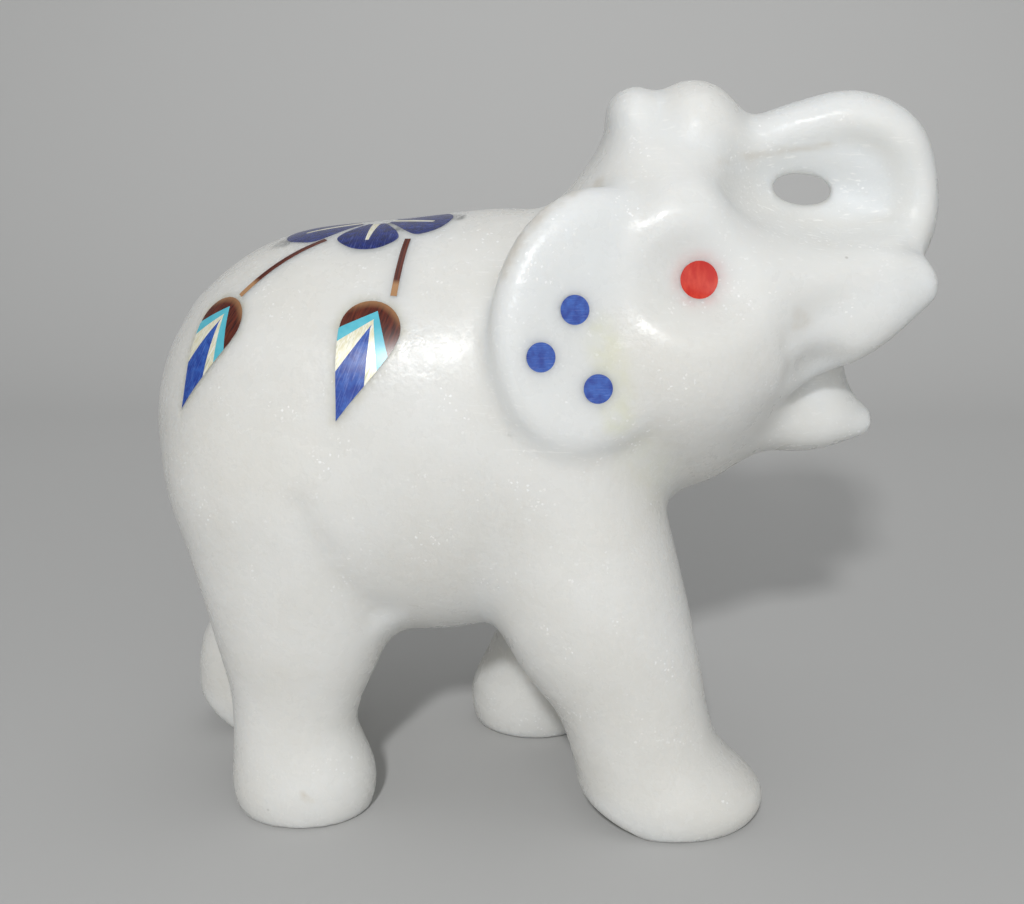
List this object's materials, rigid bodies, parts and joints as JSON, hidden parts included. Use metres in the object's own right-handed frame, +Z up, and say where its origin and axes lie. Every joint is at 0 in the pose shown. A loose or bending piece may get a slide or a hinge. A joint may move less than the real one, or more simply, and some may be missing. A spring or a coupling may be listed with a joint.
{
  "type": "inlaid marble elephant figure",
  "caption": "Small carved white marble elephant with raised, curled trunk and coloured stone inlay, standing on its four feet.",
  "frame": {"origin": "middle of the bounding box on the plane that the four soles stand on", "axes": "+X towards the head, +Z up, the elephant's right side faces -Y"},
  "size_m": [0.0818, 0.0362, 0.0759],
  "materials": {
    "marble": "polished",
    "lapis": "polished",
    "coral": "polished",
    "turquoise": "polished",
    "pearl": "polished mother of pearl",
    "agate": "polished"
  },
  "bodies": {
    "root": {"marble_body": "marble", "right_eye": "coral", "right_ear_dot_upper": "lapis", "right_ear_dot_middle": "lapis", "right_ear_dot_lower": "lapis", "left_eye": "coral", "left_ear_dot_upper": "lapis", "left_ear_dot_middle": "lapis", "left_ear_dot_lower": "lapis", "petal_rear": "lapis", "petal_rear_sliver": "pearl", "petal_right_rear": "lapis", "petal_right_rear_sliver": "pearl", "petal_left_rear": "lapis", "petal_left_rear_sliver": "pearl", "petal_right_front": "lapis", "petal_right_front_sliver": "pearl", "petal_left_front": "lapis", "petal_left_front_sliver": "pearl", "right_flank_bud_sepal_rear": "agate", "right_flank_bud_strip_rear": "turquoise", "right_flank_bud_wedge_rear": "pearl", "right_flank_bud_sepal_front": "agate", "right_flank_bud_strip_front": "turquoise", "right_flank_bud_wedge_front": "pearl", "right_flank_bud_heart": "lapis", "right_flank_stem": "agate", "right_rump_bud_sepal_rear": "agate", "right_rump_bud_strip_rear": "turquoise", "right_rump_bud_wedge_rear": "pearl", "right_rump_bud_sepal_front": "agate", "right_rump_bud_strip_front": "turquoise", "right_rump_bud_wedge_front": "pearl", "right_rump_bud_heart": "lapis", "right_rump_stem": "agate", "left_flank_bud_sepal_rear": "agate", "left_flank_bud_strip_rear": "turquoise", "left_flank_bud_wedge_rear": "pearl", "left_flank_bud_sepal_front": "agate", "left_flank_bud_strip_front": "turquoise", "left_flank_bud_wedge_front": "pearl", "left_flank_bud_heart": "lapis", "left_flank_stem": "agate", "left_rump_bud_sepal_rear": "agate", "left_rump_bud_strip_rear": "turquoise", "left_rump_bud_wedge_rear": "pearl", "left_rump_bud_sepal_front": "agate", "left_rump_bud_strip_front": "turquoise", "left_rump_bud_wedge_front": "pearl", "left_rump_bud_heart": "lapis", "left_rump_stem": "agate"}
  },
  "joints": []
}
